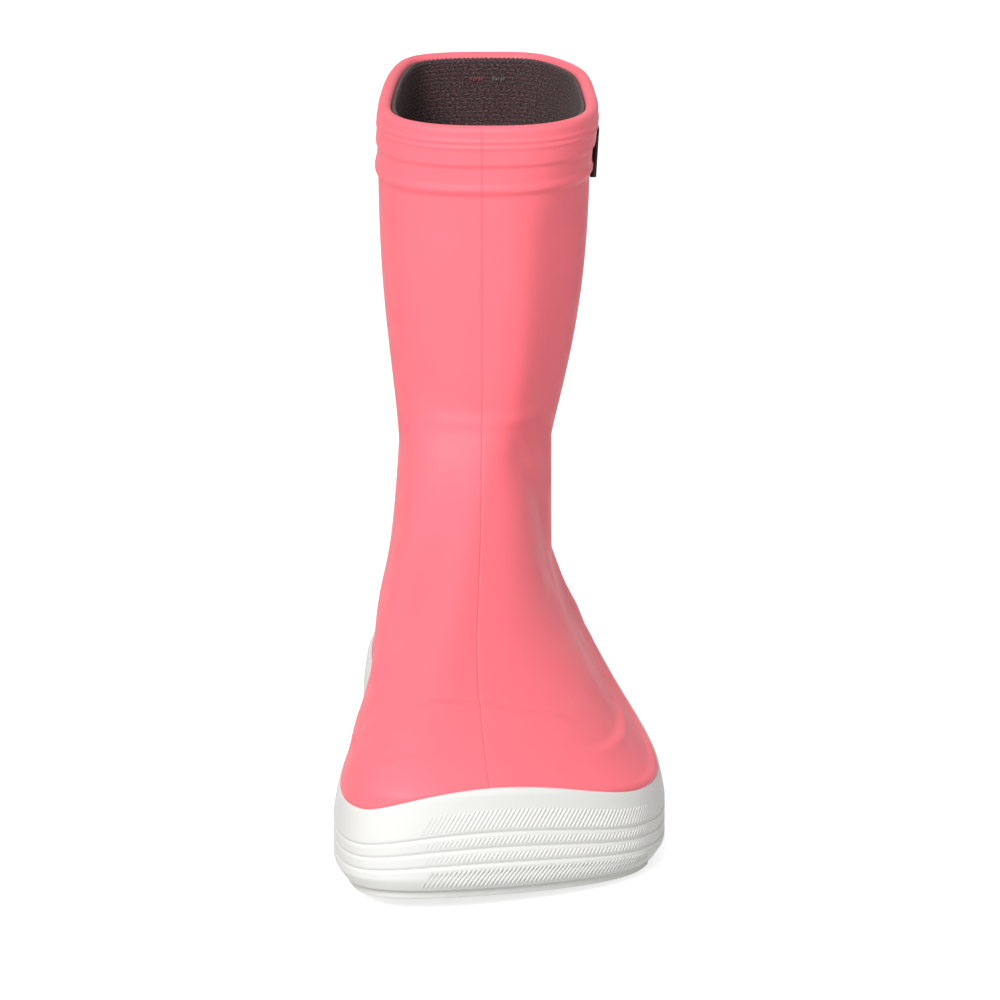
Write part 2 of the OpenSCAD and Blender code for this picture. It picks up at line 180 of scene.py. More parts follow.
def by_side(values, turn):
    c, s = np.cos(np.radians(turn)), np.sin(np.radians(turn))
    weights = np.stack([np.maximum(0, c) ** 2, np.maximum(0, s) ** 2,
                        np.maximum(0, -c) ** 3, np.maximum(0, -s) ** 2], -1)
    return weights @ values / weights.sum(-1)


def wall_outline(turn, z):
    low, high = by_side(TURN_FROM, turn), by_side(TURN_TO, turn)
    rise = np.clip(((z - SEAT_Z) / (ANKLE_H - SEAT_Z) - low) / (high - low), 0, 1)
    share = ease(rise ** by_side(TURN_EASE, turn))
    return mix(foot_outline(turn), leg_outline(turn, z), share[..., None])


FOOT_POINTS = foot_outline(np.arange(0, 360, 7.5))
MIDDLE = (FOOT_POINTS.min(0) + FOOT_POINTS.max(0)) / 2
TOE_Y = FOOT_POINTS[:, 1].min()


def toe_lift(y):
    start = -SPRING_FROM * FOOT_L
    return TOE_SPRING * np.maximum(0, (start - y) / (start - TOE_Y)) ** 2


def layer(turn, z, inset):
    """Points of the wall set in by a distance, in the frame of the boot, in millimetres."""
    turn, z, inset = np.broadcast_arrays(*(np.asarray(v, float) for v in (turn, z, inset)))
    level = z + SLOPE * inset
    along = wall_outline(turn + 1, level) - wall_outline(turn - 1, level)
    inward = unit(np.stack([-along[..., 1], along[..., 0]], -1))
    p = wall_outline(turn, level) + inset[..., None] * inward
    return np.concatenate([p - MIDDLE, (z + toe_lift(p[..., 1]))[..., None]], -1)


def sole_edge(turn):
    return SIDE_H + TOE_RISE * bump(turn, *TOE_RISE_AT) + HEEL_RISE * bump(turn, *HEEL_RISE_AT)


print("outline spans", np.round(np.ptp(FOOT_POINTS, axis=0), 1), "mm")

# %% [markdown]
# ## Rows of points
# A row of the mesh is one outline. The turn angle crowds points at the corners of the oval, so each row is
# laid out again by its length, from the heel to the front seam on either side. The two mould halves met at
# the front seam and at the heel. Columns lie close together there, so that the fine line is real geometry.

# %% Columns of a row
# Height and sideways place of the front seam.
SEAM_Z = [31, 39, 47, 54, 62, 72, 84, 99, 116, 195]
SEAM_X = [-2.8, -3.9, -4.9, -5.8, -6.1, -5.7, -5.2, -5.0, -4.7, -4.7]
DENSE = np.linspace(0, 360, 1441)
# A small turn, to find which way a row runs.
NUDGE = 0.2
FRONT = (DENSE > 150) & (DENSE < 215)
HALF_COLUMNS = 138
FINE_SHARE, FINE_COLUMNS, FINE_EASE = 0.03, 13, 1.7
FINE = FINE_SHARE * np.linspace(0, 1, FINE_COLUMNS) ** FINE_EASE
HALF = np.concatenate([FINE[:-1], np.linspace(FINE_SHARE, 1 - FINE_SHARE, HALF_COLUMNS, endpoint=False),
                       1 - FINE[::-1]])


def even_row(z, inset, half=HALF):
    """One row of points, their turn angles, and their way from the front seam and from the heel."""
    p = layer(DENSE, z, inset)
    length = way_along(p)
    seam_turn = np.interp(np.interp(z, SEAM_Z, SEAM_X), p[FRONT, 0], DENSE[FRONT])
    seam = np.interp(seam_turn, DENSE, length)
    there = np.concatenate([half * seam, (seam + (1 - half[::-1]) * (length[-1] - seam))[1:-1]])
    turn = np.interp(there, length, DENSE)
    points = np.stack([np.interp(there, length, p[:, k]) for k in range(3)], -1)
    return points, turn, there - seam, np.where(there > seam, there - length[-1], there)


def even_rows(heights, insets, half=HALF):
    rows = [even_row(z, d, half) for z, d in zip(heights, insets)]
    return tuple(np.stack(part) for part in zip(*rows))


def spaced(start, end, gap):
    return np.linspace(start, end, max(2, round(abs(end - start) / gap)), endpoint=False)


print("columns in a row:", 2 * len(HALF) - 2)

# %% Meshes and pieces
def skin(rows, looped=False):
    """Points and faces over rows of points. The ends are closed by fans, or joined where it is looped."""
    count, columns = rows.shape[:2]
    index = np.arange(count * columns).reshape(count, columns)
    below, above = (index, np.roll(index, -1, axis=0)) if looped else (index[:-1], index[1:])
    quads = np.stack([below, np.roll(below, -1, 1), np.roll(above, -1, 1), above], -1).reshape(-1, 4)
    points, faces = rows.reshape(-1, 3), quads.tolist()
    if not looped:
        points = np.concatenate([points, [rows[0].mean(0), rows[-1].mean(0)]])
        for c in range(columns):
            d = (c + 1) % columns
            faces.append([count * columns, int(index[0, d]), int(index[0, c])])
            faces.append([count * columns + 1, int(index[-1, c]), int(index[-1, d])])
    return points, faces


def make_mesh(name, *skins, cloth=None):
    """One mesh of several skins in millimetres, with a map of the cloth where it is given."""
    points, faces = [], []
    for some, those in skins:
        first = sum(map(len, points))
        points.append(some)
        faces += [[i + first for i in face] for face in those]
    mesh = bpy.data.meshes.new(name)
    mesh.from_pydata((np.concatenate(points) * MM).tolist(), [], faces)
    if cloth is not None:
        corner = np.zeros(len(mesh.loops), int)
        mesh.loops.foreach_get("vertex_index", corner)
        mesh.uv_layers.new(name="cloth").data.foreach_set("uv", cloth[corner].ravel())
    mesh.shade_smooth()
    return mesh


def new_object(name, data):
    made = bpy.data.objects.new(name, data)
    bpy.context.scene.collection.objects.link(made)
    return made


def piece(mesh, material, slot, *nodes):
    """Puts a mesh in the scene as a piece of the boot that stands for some of its solids."""
    made = new_object(mesh.name, mesh)
    if material.name not in mesh.materials:
        mesh.materials.append(material)
    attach(made, "root")
    if nodes:
        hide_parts(*nodes)
    print(made.name, len(mesh.polygons), "faces")
    return made


print("a skin over 3 rows of 4 points has", len(skin(np.zeros((3, 4, 3)))[1]), "faces")

# %% [markdown]
# ## Materials
# Every finish starts from what the real material is. Colours are written as sRGB hex values, as a paint
# chart gives them, and one function turns them into the linear values that the shader uses. Pattern
# sizes are millimetres: a texture's scale is how many of its features fit into a metre.

# %% Colour and node helpers
def linear(code):
    parts = [int(code[i:i + 2], 16) / 255 for i in (1, 3, 5)]
    return [c / 12.92 if c <= 0.04045 else ((c + 0.055) / 1.055) ** 2.4 for c in parts] + [1.0]


def per_metre(size_mm):
    return 1 / (size_mm * MM)


def give(tree, node, inputs):
    """Gives a value or a link to each named input of a node."""
    for socket, value in inputs.items():
        if isinstance(value, bpy.types.NodeSocket):
            tree.links.new(value, node.inputs[socket])
        else:
            node.inputs[socket].default_value = value


def add(tree, kind, inputs=None, **settings):
    node = tree.nodes.new(kind)
    for name, value in settings.items():
        setattr(node, name, value)
    give(tree, node, inputs or {})
    return node


def calculate(tree, operation, *values):
    return add(tree, "ShaderNodeMath", dict(enumerate(values)), operation=operation).outputs[0]


def noise(tree, place, scale, detail, roughness=0.5):
    inputs = {"Vector": place, "Scale": scale, "Detail": detail, "Roughness": roughness}
    return add(tree, "ShaderNodeTexNoise", inputs).outputs["Fac"]


def spread(tree, value, low, high, first=0.0, last=1.0):
    """A value from one range spread over another."""
    inputs = {"Value": value, "From Min": low, "From Max": high, "To Min": first, "To Max": last}
    return add(tree, "ShaderNodeMapRange", inputs).outputs["Result"]


def two_colours(tree, share, first, second):
    inputs = {"Factor": share, "A": first, "B": second}
    return add(tree, "ShaderNodeMix", inputs, data_type="RGBA").outputs["Result"]


def fine_relief(tree, height, strength, depth_mm):
    inputs = {"Height": height, "Strength": strength, "Distance": depth_mm * MM}
    return add(tree, "ShaderNodeBump", inputs).outputs["Normal"]


def new_material(name):
    material = bpy.data.materials.new(name)
    material.use_nodes = True
    return material, material.node_tree, material.node_tree.nodes["Principled BSDF"]


print("middle grey in linear light:", round(linear("#808080")[0], 3))

# %% [markdown]
# Moulded rubber is cast against blasted steel, so it is satin: a soft highlight with a fine grain. The
# grain is drawn coarser than a real one, so that it shows. The colour is not quite even, because the pigment
# clouds a little and handling polishes it in places.

# %% Moulded rubber
CLOUD_MM, POLISH_MM, POLISH = 22, 9, 0.05
GRAIN_STRENGTH, RUBBER_IOR = 0.4, 1.52


def moulded_rubber(name, colour, cloud, roughness, shine, grain_mm, depth_mm):
    material, tree, shader = new_material(name)
    place = add(tree, "ShaderNodeTexCoord").outputs["Object"]
    clouds = noise(tree, place, per_metre(CLOUD_MM), 3.0)
    polish = noise(tree, place, per_metre(POLISH_MM), 2.0)
    grain = noise(tree, place, per_metre(grain_mm), 2.0)
    give(tree, shader, {
        "Base Color": two_colours(tree, clouds, linear(colour), linear(cloud)),
        "Roughness": spread(tree, polish, 0.3, 0.7, roughness - POLISH, roughness + POLISH),
        "Normal": fine_relief(tree, grain, GRAIN_STRENGTH, depth_mm),
        "IOR": RUBBER_IOR, "Specular IOR Level": shine})
    return material


# Name, the two colours, roughness, shine, and the grain's size and depth in millimetres.
RUBBERS = (
    ("satin pink natural rubber", "#FC7380", "#FC7985", 0.55, 0.25, 0.7, 0.05),
    ("matt white moulded rubber", "#E2E2DF", "#E6E6E3", 0.6, 0.3, 0.6, 0.05),
    ("matt off-white tread rubber", "#E0E0DC", "#E4E4E0", 0.66, 0.3, 0.8, 0.08),
    ("matt black moulded rubber", "#17151A", "#1D1A20", 0.5, 0.4, 0.5, 0.06),
)
pink_rubber, white_rubber, tread_rubber, black_rubber = (moulded_rubber(*row) for row in RUBBERS)
print("rubbers made:", len(RUBBERS))

# %% [markdown]
# The lining is a weft knit of a marled yarn: dark brown and grey strands twisted together, with a thread of
# dull red. Its own map, in millimetres of cloth, lets the marl run along the courses of the knit.

# %% Marled knit
COURSE_MM = 1.25
# Strands and flecks in a millimetre of cloth, along the courses and across them.
MARL_SCALE, FLECK_SCALE = (1.3, 3.1, 1.0), (1.0, 2.4, 1.0)
YARN_STOPS = (0.36, 0.5, 0.68)
FLECK_FROM, FLECK_TO = 0.58, 0.68
MARL_STRENGTH, MARL_DEPTH_MM = 0.7, 0.3
KNIT_FINISH = {"Roughness": 0.92, "Specular IOR Level": 0.25, "Sheen Weight": 0.04, "Sheen Roughness": 0.6}


def marled_knit(name, dark, middle, light, fleck):
    material, tree, shader = new_material(name)
    cloth = add(tree, "ShaderNodeUVMap", uv_map="cloth").outputs["UV"]
    along, fine = (add(tree, "ShaderNodeMapping", {"Vector": cloth, "Scale": scale}).outputs["Vector"]
                   for scale in (MARL_SCALE, FLECK_SCALE))
    marl = noise(tree, along, 1.0, 3.0, roughness=0.65)
    yarn = add(tree, "ShaderNodeValToRGB", {"Fac": marl})
    stops = yarn.color_ramp.elements
    stops.remove(stops[-1])
    stops[0].position = YARN_STOPS[0]
    for place in YARN_STOPS[1:]:
        stops.new(place)
    for stop, colour in zip(stops, (dark, middle, light)):
        stop.color = linear(colour)
    flecks = spread(tree, noise(tree, fine, 1.0, 2.0), FLECK_FROM, FLECK_TO)
    give(tree, shader, {
        "Base Color": two_colours(tree, flecks, yarn.outputs["Color"], linear(fleck)),
        "Normal": fine_relief(tree, marl, MARL_STRENGTH, MARL_DEPTH_MM), **KNIT_FINISH})
    return material


lining_knit = marled_knit("marled knit lining", "#271D1D", "#443233", "#7C6B6B", "#6C353B")
footbed_cloth = marled_knit("brushed marled cloth", "#3A3031", "#57474A", "#86787A", "#66474B")
print("knits made:", lining_knit.name, footbed_cloth.name)

# %% [markdown]
# The other layers have plain finishes. Specks of two colours stand for the twist of a thread, the weave of
# canvas, the fibres of board and the cells of foam.

# %% Thread, canvas, board and foam
SPECK_STRENGTH = 0.5


def speckled(name, colour, other, speck_mm, depth_mm, roughness):
    """Two colours in specks of a size and depth in millimetres."""
    material, tree, shader = new_material(name)
    place = add(tree, "ShaderNodeTexCoord").outputs["Object"]
    pattern = {"Vector": place, "Scale": per_metre(speck_mm)}
    specks = add(tree, "ShaderNodeTexVoronoi", pattern).outputs["Distance"]
    give(tree, shader, {"Base Color": two_colours(tree, specks, linear(colour), linear(other)),
                        "Normal": fine_relief(tree, specks, SPECK_STRENGTH, depth_mm),
                        "Roughness": roughness})
    return material


dark_thread = speckled("overlock thread", "#352A2B", "#6B5A5B", 0.6, 0.08, 0.9)
red_thread = speckled("dull red thread", "#7A3038", "#8A4A50", 0.5, 0.08, 0.85)
grey_thread = speckled("grey thread", "#8C8082", "#3A3032", 0.6, 0.08, 0.85)
canvas = speckled("stiffened canvas", "#C9BBA0", "#B3A387", 0.9, 0.1, 0.9)
fibre_board = speckled("cellulose fibre board", "#B09A75", "#9C8560", 0.6, 0.05, 0.85)
open_foam = speckled("open cell foam", "#D8D8D2", "#BFBFB8", 0.8, 0.15, 0.9)
sole_foam = speckled("foamed rubber", "#EAE8E0", "#D8D6CC", 0.7, 0.08, 0.85)
for node, material in (("toe_puff", canvas), ("heel_counter", canvas), ("insole_board", fibre_board),
                       ("sole_core", sole_foam)):
    solid = bpy.data.objects[node]
    solid.data.materials.clear()
    solid.data.materials.append(material)
    print(node, "is finished as", material.name)

# %% [markdown]
# ## The rubber upper
# The shell is one piece, so it is one skin: up the outside, over the rounded rim and down the inside. The
# moulded relief is pushed out along the surface's own normal: a collar band with two fine ridges, a valley
# and a rib, a soft ridge at the ankle, a rand that wraps the toe, a bead where the rubber meets the sole,
# and the lines where the mould halves met, up the front and up the back.

# %% Rows of the upper
RIM_R, RIM_STEPS = 1.7, 7
# Heights, and the gap between the rows above each.
ROW_GAPS = ((SEAT_Z, 1.0), (21.0, 0.4), (35.0, 0.5), (62.0, 1.2), (124.0, 1.8), (BOOT_H - 26, 0.4),
            (BOOT_H - 9, 0.25))
ROW_ENDS = [start for start, _ in ROW_GAPS[1:]] + [BOOT_H - RIM_R]
outer_z = np.concatenate([spaced(start, end, gap) for (start, gap), end in zip(ROW_GAPS, ROW_ENDS)])
outer, turn, from_seam, from_heel = even_rows(outer_z, np.zeros_like(outer_z))
level = outer_z[:, None] + np.zeros_like(turn)
print("rows on the outside:", len(outer_z))

# %% Relief of the collar, the ankle and the parting lines
BAND_OUT, VALLEY_OUT, RIB_OUT = 1.1, 0.45, 0.95
# Drops below the rim between which the band ends, the rib starts and the rib ends.
BAND_END, RIB_START, RIB_END = (10.8, 12.3), (16.3, 18.2), (18.3, 20.7)
FINE_RIDGES, FINE_OUT, FINE_W = (4.3, 6.1), 0.3, 0.6
RIDGE_OUT, RIDGE_Z, RIDGE_W = 0.45, 109.2, 1.8
RIDGE_FROM, RIDGE_TO = (140, 165), (215, 240)
SEAM_DEPTH, SEAM_W = 0.24, 0.22
NIB_OUT, NIB_Z, NIB_TALL, NIB_TURN, NIB_WIDE = 0.35, 85.5, 0.7, 248, 1.0


def collar_out(drop):
    """How far the collar stands out at a distance below the rim."""
    out = BAND_OUT - (BAND_OUT - VALLEY_OUT) * step(drop, *BAND_END)
    return out + (RIB_OUT - VALLEY_OUT) * step(drop, *RIB_START) - RIB_OUT * step(drop, *RIB_END)


relief = collar_out(BOOT_H - level)
for ridge in FINE_RIDGES:
    relief += FINE_OUT * bell(BOOT_H - level, ridge, FINE_W)
relief += RIDGE_OUT * bell(level, RIDGE_Z, RIDGE_W) * step(turn, *RIDGE_FROM) * (1 - step(turn, *RIDGE_TO))
relief -= SEAM_DEPTH * (bell(from_seam, 0, SEAM_W) + bell(from_heel, 0, SEAM_W))
relief += NIB_OUT * bell(level, NIB_Z, NIB_TALL) * bell(turn, NIB_TURN, NIB_WIDE)
print("the collar stands out by up to", np.round(relief.max(), 2), "mm")

# %% Relief of the rand round the toe and of the arc over it
RAND_TURN = [110, 144, 156, 166, 174, 181, 191, 201, 210, 216, 224, 232, 243, 255, 266, 282, 310]
RAND_Z = [35, 36, 36.5, 36.5, 37.5, 40, 40.5, 39, 36.5, 35, 34.5, 34, 32.5, 31, 30, 30, 31]
RAND_DEPTH = [0, 0.5, 0.6, 0.5, 0.3, 0.2, 0.2, 0.25, 0.5, 0.8, 1.0, 1.0, 0.9, 0.6, 0.45, 0.4, 0]
RAND_EDGE, RAND_FADE = (-1.3, 1.5), 13
RAND_ROLL = [0, 0.3, 0.35, 0.35, 0.2, -0.15, -0.15, -0.1, 0.2, 0.4, 0.5, 0.5, 0.45, 0.3, 0.2, 0.2, 0]
ROLL_Z, ROLL_W = -0.5, 1.0
ARC_TURN = [170, 176, 181, 188, 193, 200, 207, 214, 222]
ARC_Z = [46, 48.5, 50, 50, 49, 46.5, 44.5, 40.5, 35.5]
ARC_FROM, ARC_TO = (170, 178), (205, 219)
ARC_OUT, ARC_EDGE, ARC_FADE = 0.3, (-0.4, 0.5), 5
LINE_DEPTH, LINE_Z, LINE_W = 0.2, -0.4, 0.6
above = level - np.interp(turn, RAND_TURN, RAND_Z)
depth = np.interp(turn, RAND_TURN, RAND_DEPTH)
relief += depth * (0.5 - step(above, *RAND_EDGE)) * np.exp(-np.maximum(0, above - RAND_EDGE[1]) / RAND_FADE)
relief += np.interp(turn, RAND_TURN, RAND_ROLL) * bell(above, ROLL_Z, ROLL_W)
below_arc = np.interp(turn, ARC_TURN, ARC_Z) - level
arc_share = step(turn, *ARC_FROM) * (1 - step(turn, *ARC_TO))
relief += ARC_OUT * step(below_arc, *ARC_EDGE) * np.exp(-np.maximum(0, below_arc) / ARC_FADE) * arc_share
relief -= LINE_DEPTH * bell(below_arc, LINE_Z, LINE_W) * arc_share
print("the rand's edge lies", min(RAND_Z), "to", max(RAND_Z), "mm high")

# %% Relief of the bead on the sole and of the foot's swells
BEAD_OUT, BEAD_AT = (0.35, 0.8), (265, 62)
BEAD_UP, BEAD_W = 0.7, 0.8
# How far out, the turn and half its spread, the level and its spread.
SWELLS = (
    (1.0, 121, 32, 60, 8),  # the ankle's inner side
    (-0.9, 121, 32, 45, 6),  # the hollow between it and the sole
    (0.9, 303, 24, 33, 5),  # the heel's outer side
    (-1.9, 210, 33, 60, 17),  # the instep's outer flank
    (0.8, 238, 34, 50, 16),  # the side of the foot
    (-1.8, 158, 16, 66, 18),  # the instep's inner flank
    (0.9, 214, 25, 88, 12),  # the front of the ankle's outer side
)
# The instep itself is a rounded ridge.
INSTEP_OUT, INSTEP_TURN, INSTEP_WIDE, INSTEP_Z, INSTEP_TALL = 2.0, 179, 7, 70, 26
relief += mix(*BEAD_OUT, bump(turn, *BEAD_AT)) * bell(level - sole_edge(turn), BEAD_UP, BEAD_W)
for out, middle, half, height, tall in SWELLS:
    relief += out * bump(turn, middle, half) * bell(level, height, tall)
relief += INSTEP_OUT * bell(turn, INSTEP_TURN, INSTEP_WIDE) * bell(level, INSTEP_Z, INSTEP_TALL)
print("relief from", np.round(relief.min(), 2), "to", np.round(relief.max(), 2), "mm")

# %% The upper's skin
across = np.roll(outer, -1, axis=1) - np.roll(outer, 1, axis=1)
upwards = np.gradient(outer, axis=0)
outside = outer + unit(np.cross(across, upwards)) * relief[..., None]

quarter = np.linspace(0, math.pi / 2, RIM_STEPS)
rim_z = BOOT_H - RIM_R + RIM_R * np.concatenate([np.sin(quarter), np.cos(quarter)])
rim_in = np.concatenate([-BAND_OUT + RIM_R * (1 - np.cos(quarter)), WALL - RIM_R * (1 - np.sin(quarter))])
# Inside, the lining covers all but the rows near the rim.
INNER_TOP, INNER_CLOSE = BOOT_H - RIM_R - 0.8, BOOT_H - 12
inner_z = np.concatenate([spaced(INNER_TOP, INNER_CLOSE, 1.2), spaced(INNER_CLOSE, SEAT_Z + FLOOR_T, 5)])
rim_rows, _, rim_from_seam, _ = even_rows(rim_z, rim_in)
rim_rows[..., 1] += SEAM_DEPTH * bell(rim_from_seam, 0, SEAM_W) * np.linspace(1, 0, len(rim_z))[:, None]
inner_rows = even_rows(inner_z, np.full_like(inner_z, WALL))[0]
upper_mesh = make_mesh("rubber_upper", skin(np.concatenate([outside, rim_rows, inner_rows])))
upper = piece(upper_mesh, pink_rubber, "upper_rubber", "upper_shell")

# %% [markdown]
# ## The sole's sidewall
# The cup is moulded too. Its profile is drawn once, from the tread up: it rounds out, then three grooves
# part four bands, and the last band rises to the top edge. That edge climbs over the toe and round the heel,
# so all but the lowest rows follow it instead of a level.

# %% Profile of the sidewall
TREAD_H, PLATE_UP, PLATE_T, CUP_FLOOR = 2.6, 0.4, 1.9, 2.0
PLATE_Z = TREAD_H + PLATE_UP
RECESS_Z = PLATE_Z + PLATE_T + GLUE / 2
CORE_Z = RECESS_Z + CUP_FLOOR + GLUE / 2
GROOVE_Z = (9.9, 14.3, 18.7)
GROOVE_D, GROOVE_W = 0.45, 0.52
TOE_EDGE = SIDE_H + TOE_RISE
ROUND_SHARE, ROUND_FROM, ROUND_TO = 0.96, TREAD_H - 0.6, 7.2
TAPER_FROM, TAPER_EASE = 19.5, 1.3
# Heights between which the rows start to follow the top edge.
FOLLOW_EDGE = (3.0, 8.0)
# Where the top edge is drawn in under the roll of the upper: how far, the turn and half its spread.
LIP_DRAWN = ((0.85, 268, 60), (0.8, 112, 45))


def lip_out(turn):
    """How far the top edge stands out."""
    return LIP_OUT - sum(far * bump(turn, middle, half) for far, middle, half in LIP_DRAWN)


def sidewall_out(turn, h):
    """How far the sidewall stands out at a height, as measured at the toe."""
    out = SOLE_OUT * (1 - ROUND_SHARE + ROUND_SHARE * np.sqrt(step(h, ROUND_FROM, ROUND_TO)))
    taper = np.clip((h - TAPER_FROM) / (TOE_EDGE - TAPER_FROM), 0, 1) ** TAPER_EASE
    out = out - (SOLE_OUT - lip_out(turn)) * taper
    for groove in GROOVE_Z:
        out = out - GROOVE_D * bell(h, groove, GROOVE_W)
    return out


def on_sidewall(turn, h):
    z = mix(h, h * sole_edge(turn) / TOE_EDGE, step(h, *FOLLOW_EDGE))
    return layer(turn, z, -sidewall_out(turn, h))


print("top edge at the toe:", TOE_EDGE, "mm, at the heel:", sole_edge(0.0), "mm")

# %% Skin of the sidewall
SOLE_COLUMNS = 480
LIP_R, LIP_STEPS, LIP_DROP = 0.6, 6, 0.2
RECESS_SET, SEAT_SET = 1.0, 3.0
sole_run = way_along(layer(DENSE, 10.0, 0.0))
sole_turn = np.interp(np.linspace(0, sole_run[-1], SOLE_COLUMNS, endpoint=False), sole_run, DENSE)
band_h = np.concatenate([spaced(TREAD_H, 20.5, 0.22), spaced(20.5, TOE_EDGE - LIP_R, 0.7)])
edge = sole_edge(sole_turn)
rows = [layer(sole_turn, z, RECESS_SET) for z in (RECESS_Z, TREAD_H)]
rows += [on_sidewall(sole_turn, h) for h in band_h]
for angle in np.linspace(0, 1, LIP_STEPS) * math.pi / 2:
    turned_in = np.minimum(LIP_R * (1 - math.cos(angle)), lip_out(sole_turn) - GLUE)
    rows.append(layer(sole_turn, edge - LIP_R + LIP_R * math.sin(angle), turned_in - lip_out(sole_turn)))
rows += [layer(sole_turn, mix(edge - LIP_DROP, SEAT_Z - GLUE, t), -GLUE) for t in (0, 0.33, 0.66, 1)]
rows += [layer(sole_turn, z, SEAT_SET) for z in (SEAT_Z - GLUE, CORE_Z - GLUE / 2)]
piece(make_mesh("sole_cup", skin(np.stack(rows))), white_rubber, "sole_rubber", "sole_sidewall")

# %% [markdown]
# ## Rounded bars on points
# Moulded ribs, overlock wraps and tack stitches are all the same thing: a short rounded bar, set down many
# times. One node tree makes the bar from its length, width and rise, and puts it on every point of a mesh.
# Each point says which way its bar runs, which way is out, and how large it is.

# %% The tree of bars
BAR_STEPS, BAR_SIDES = 9, 8
BLUNTNESS, BLUNT_END = 6.0, 1.02


def bar_tree():
    tree = bpy.data.node_groups.new("rounded bars", "GeometryNodeTree")
    sockets = {"Points": "Geometry", "Length": "Float", "Width": "Float", "Rise": "Float",
               "Finish": "Material"}
    for name, kind in sockets.items():
        tree.interface.new_socket(name, in_out="INPUT", socket_type="NodeSocket" + kind)
    tree.interface.new_socket("Bars", in_out="OUTPUT", socket_type="NodeSocketGeometry")
    given = add(tree, "NodeGroupInput").outputs

    def first(kind, inputs, **settings):
        return add(tree, kind, inputs, **settings).outputs[0]

    top = first("ShaderNodeCombineXYZ", {"Z": calculate(tree, "MULTIPLY", given["Length"], 0.5)})
    foot = first("ShaderNodeVectorMath", {0: top, "Scale": -1.0}, operation="SCALE")
    line = first("GeometryNodeCurvePrimitiveLine", {"Start": foot, "End": top})
    line = first("GeometryNodeResampleCurve", {"Curve": line, "Count": BAR_STEPS})
    # The bar keeps its width over most of its length and rounds off at both ends.
    along = add(tree, "GeometryNodeSplineParameter").outputs["Factor"]
    centred = calculate(tree, "MULTIPLY_ADD", along, 2.0, -1.0)
    blunt = calculate(tree, "POWER", centred, BLUNTNESS)
    taper = calculate(tree, "POWER", calculate(tree, "SUBTRACT", BLUNT_END, blunt), 0.5)
    circle = first("GeometryNodeCurvePrimitiveCircle", {"Resolution": BAR_SIDES, "Radius": 0.5})
    body = first("GeometryNodeCurveToMesh", {"Curve": line, "Profile Curve": circle, "Scale": taper,
                                             "Fill Caps": True})
    size = first("ShaderNodeCombineXYZ", {"X": given["Rise"], "Y": given["Width"], "Z": 1.0})
    body = first("GeometryNodeTransform", {"Geometry": body, "Scale": size})
    runs, faces, fit = (first("GeometryNodeInputNamedAttribute", {"Name": name}, data_type="FLOAT_VECTOR")
                        for name in ("runs", "faces", "fit"))
    turned = first("FunctionNodeAxesToRotation", {"Primary Axis": runs, "Secondary Axis": faces},
                   primary_axis="Z", secondary_axis="X")
    placed = first("GeometryNodeInstanceOnPoints", {"Points": given["Points"], "Instance": body,
                                                    "Rotation": turned, "Scale": fit})
    real = first("GeometryNodeRealizeInstances", {"Geometry": placed})
    smooth = first("GeometryNodeSetShadeSmooth", {"Geometry": real})
    finished = first("GeometryNodeSetMaterial", {"Geometry": smooth, "Material": given["Finish"]})
    add(tree, "NodeGroupOutput", {"Bars": finished})
    return tree


BARS = bar_tree()
BAR_INPUTS = {s.name: s.identifier for s in BARS.interface.items_tree if s.in_out == "INPUT"}
print("inputs of the tree:", list(BAR_INPUTS))

# %% Bars as a piece
def bars(name, points, runs, faces, fit, length, width, rise, material, slot, *nodes):
    """A piece with a bar on every point, in millimetres, baked from the tree."""
    cloud = bpy.data.meshes.new(name)
    cloud.from_pydata((np.asarray(points) * MM).tolist(), [], [])
    for label, values in (("runs", runs), ("faces", faces), ("fit", fit)):
        values = np.broadcast_to(values, np.shape(points)).astype(np.float32)
        cloud.attributes.new(label, "FLOAT_VECTOR", "POINT").data.foreach_set("vector", values.ravel())
    holder = new_object(name, cloud)
    modifier = holder.modifiers.new("bars", "NODES")
    modifier.node_group = BARS
    given = {"Length": length * MM, "Width": width * MM, "Rise": rise * MM, "Finish": material}
    for label, value in given.items():
        modifier[BAR_INPUTS[label]] = value
    seen = holder.evaluated_get(bpy.context.evaluated_depsgraph_get())
    baked = bpy.data.meshes.new_from_object(seen)
    bpy.data.objects.remove(holder)
    bpy.data.meshes.remove(cloud)
    baked.name = name
    piece(baked, material, slot, *nodes)


print("faces of one bar:", (BAR_STEPS - 1) * BAR_SIDES + 2)

# %% [markdown]
# ## Hatching on the toe
# All four bands carry slanted ribs across the toe, to grip and to stiffen. They fade out at the corners.
# Each band's points lie along its middle at one pitch, and the bars reach across the band.

